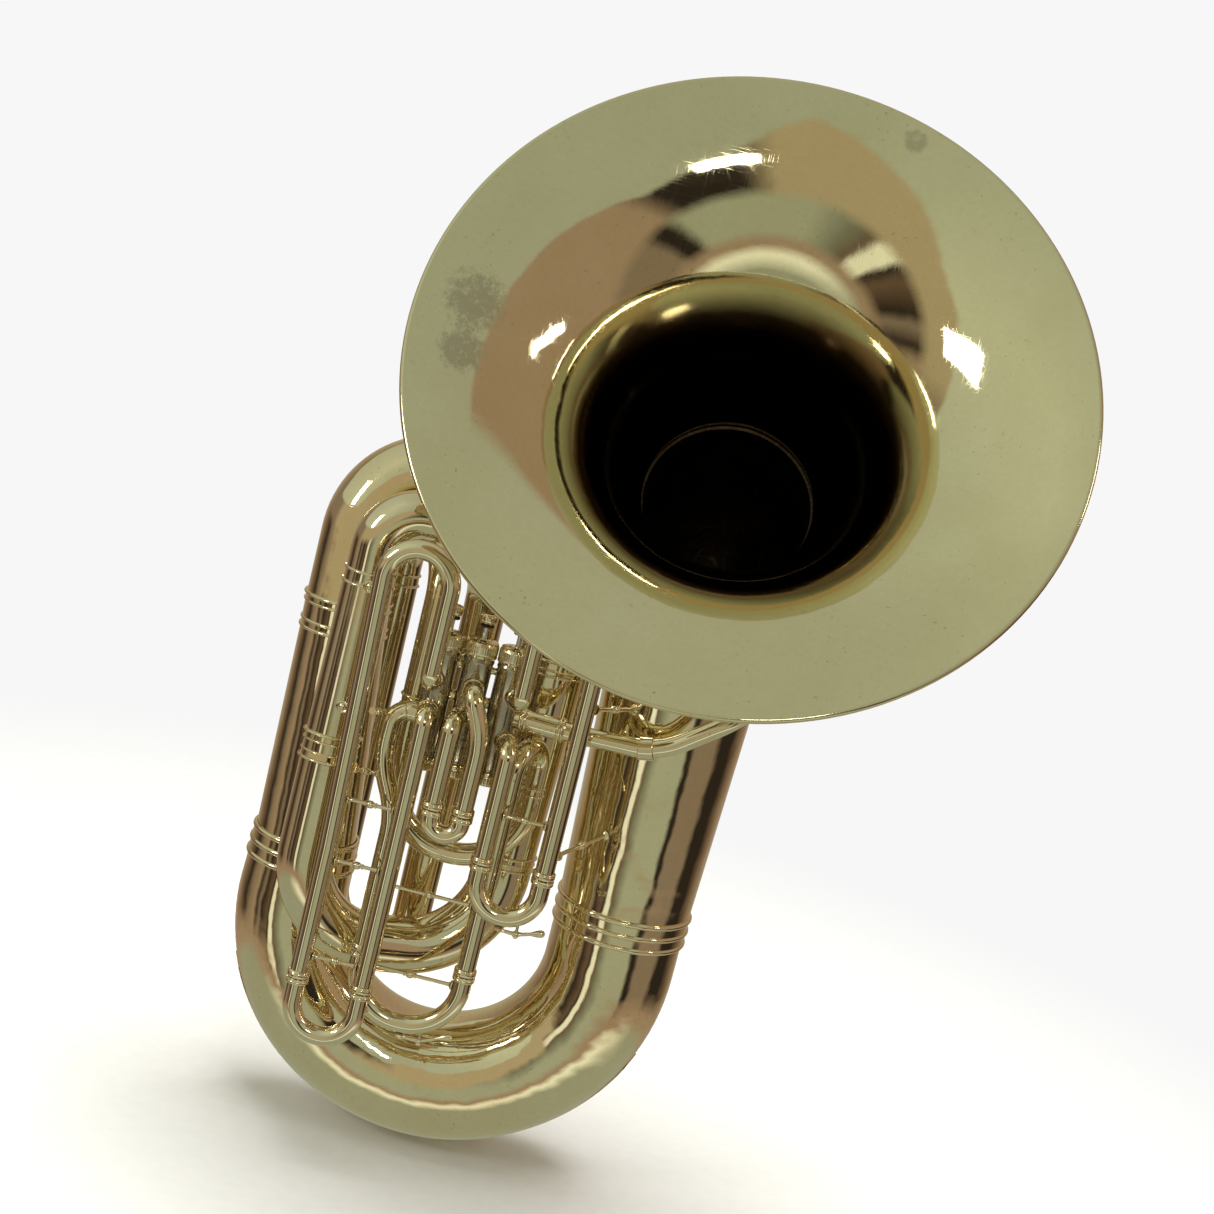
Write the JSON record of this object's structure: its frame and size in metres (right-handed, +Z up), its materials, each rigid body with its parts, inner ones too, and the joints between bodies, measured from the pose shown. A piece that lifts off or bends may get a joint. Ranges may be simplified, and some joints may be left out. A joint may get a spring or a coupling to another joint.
{
  "type": "tuba",
  "caption": "Large brass tuba with a forward-facing detachable bell, piston valves pressed from the top, tuning slides and water keys.",
  "frame": {"origin": "lowest point of the bottom bow's guard strip, where a stand carries the tuba", "axes": "+Z up along the bell stack, the bell faces -Y, the valves are on the -X side of the stack"},
  "size_m": [0.6848, 0.6194, 1.1511],
  "materials": {
    "lacquered_brass": "clear lacquer over polished brass, worn in places",
    "nickel_plate": "nickel plate, polished",
    "piston_plate": "plated and lapped",
    "spring_steel": "bright wire"
  },
  "bodies": {
    "body": {"bell_stack": "lacquered_brass", "bell_socket": "lacquered_brass", "bottom_bow": "lacquered_brass", "bow_guard": "lacquered_brass", "stack_ferrule": "lacquered_brass", "branch_ferrule": "lacquered_brass", "outer_branch": "lacquered_brass", "outer_top_bow": "lacquered_brass", "inner_branch": "lacquered_brass", "inner_bow": "lacquered_brass", "second_branch": "lacquered_brass", "second_top_bow": "lacquered_brass", "third_bow": "lacquered_brass", "third_top_bow": "lacquered_brass", "fourth_bow": "lacquered_brass", "main_slide_leg": "lacquered_brass", "main_slide_outlet": "lacquered_brass", "main_stay": "lacquered_brass", "leadpipe": "lacquered_brass", "mouthpiece_receiver": "nickel_plate", "v1_slide_upper": "lacquered_brass", "v1_slide_lower": "lacquered_brass", "v1_stay": "lacquered_brass", "v2_slide_upper": "lacquered_brass", "v2_slide_lower": "lacquered_brass", "v3_slide_upper": "lacquered_brass", "v3_slide_lower": "lacquered_brass", "v3_stay_upper": "lacquered_brass", "v3_stay_lower": "lacquered_brass", "stack_stay_upper": "lacquered_brass", "stack_stay_lower": "lacquered_brass", "valve_1_casing": "nickel_plate", "valve_1_top_cap": "lacquered_brass", "valve_1_bottom_cap": "lacquered_brass", "valve_1_spring": "spring_steel", "valve_2_casing": "nickel_plate", "valve_2_top_cap": "lacquered_brass", "valve_2_bottom_cap": "lacquered_brass", "valve_2_spring": "spring_steel", "valve_3_casing": "nickel_plate", "valve_3_top_cap": "lacquered_brass", "valve_3_bottom_cap": "lacquered_brass", "valve_3_spring": "spring_steel"},
    "bell": {"bell_flare": "lacquered_brass", "bell_elbow": "lacquered_brass"},
    "screw_1": {"bell_screw_1": "nickel_plate"},
    "screw_2": {"bell_screw_2": "nickel_plate"},
    "screw_3": {"bell_screw_3": "nickel_plate"},
    "piston_1": {"valve_1_piston": "piston_plate", "valve_1_button": "lacquered_brass"},
    "piston_2": {"valve_2_piston": "piston_plate", "valve_2_button": "lacquered_brass"},
    "piston_3": {"valve_3_piston": "piston_plate", "valve_3_button": "lacquered_brass"},
    "main_slide": {"main_slide_crook": "lacquered_brass"},
    "main_key": {"main_water_key": "nickel_plate"},
    "slide_1": {"v1_slide_crook": "lacquered_brass"},
    "slide_2": {"v2_slide_crook": "lacquered_brass"},
    "slide_3": {"v3_slide_crook": "lacquered_brass"},
    "slide_1_key": {"v1_water_key": "nickel_plate"}
  },
  "joints": [
    {"name": "bell_swivel", "type": "hinge", "parent": "body", "child": "bell", "pos_m": [0.167, 0, 0.6], "axis": [0, 0, 1], "range_deg": [-25, 25]},
    {"name": "screw_1_turn", "type": "hinge", "parent": "body", "child": "screw_1", "pos_m": [0.23403, 0.05624, 0.609], "axis": [0.766, 0.6428, 0], "range_deg": [0, 360]},
    {"name": "screw_2_turn", "type": "hinge", "parent": "body", "child": "screw_2", "pos_m": [0.08478, 0.02993, 0.609], "axis": [-0.9397, 0.342, 0], "range_deg": [0, 360]},
    {"name": "screw_3_turn", "type": "hinge", "parent": "body", "child": "screw_3", "pos_m": [0.18219, -0.08617, 0.609], "axis": [0.1736, -0.9848, 0], "range_deg": [0, 360]},
    {"name": "valve_1_press", "type": "slide", "parent": "body", "child": "piston_1", "axis": [0, 0, -1], "range_m": [0, 0.015], "stiffness_N_per_m": 200, "springref_m": -0.015, "deforming": ["valve_1_spring"]},
    {"name": "valve_2_press", "type": "slide", "parent": "body", "child": "piston_2", "axis": [0, 0, -1], "range_m": [0, 0.015], "stiffness_N_per_m": 200, "springref_m": -0.015, "deforming": ["valve_2_spring"]},
    {"name": "valve_3_press", "type": "slide", "parent": "body", "child": "piston_3", "axis": [0, 0, -1], "range_m": [0, 0.015], "stiffness_N_per_m": 200, "springref_m": -0.015, "deforming": ["valve_3_spring"]},
    {"name": "main_slide_pull", "type": "slide", "parent": "body", "child": "main_slide", "axis": [0, 0, -1], "range_m": [0, 0.075]},
    {"name": "slide_1_pull", "type": "slide", "parent": "body", "child": "slide_1", "axis": [0, 0, -1], "range_m": [0, 0.05]},
    {"name": "slide_2_pull", "type": "slide", "parent": "body", "child": "slide_2", "axis": [0, 0, -1], "range_m": [0, 0.04]},
    {"name": "slide_3_pull", "type": "slide", "parent": "body", "child": "slide_3", "axis": [0, 0, -1], "range_m": [0, 0.085]},
    {"name": "main_key_open", "type": "hinge", "parent": "main_slide", "child": "main_key", "pos_m": [-0.0022, -0.106, 0.1452], "axis": [0, -1, 0], "range_deg": [0, 16], "stiffness_Nm_per_rad": 0.06, "springref_deg": -20.05},
    {"name": "slide_1_key_open", "type": "hinge", "parent": "slide_1", "child": "slide_1_key", "pos_m": [0.0664, -0.131, 0.2887], "axis": [0, -1, 0], "range_deg": [0, 16], "stiffness_Nm_per_rad": 0.06, "springref_deg": -20.05}
  ]
}
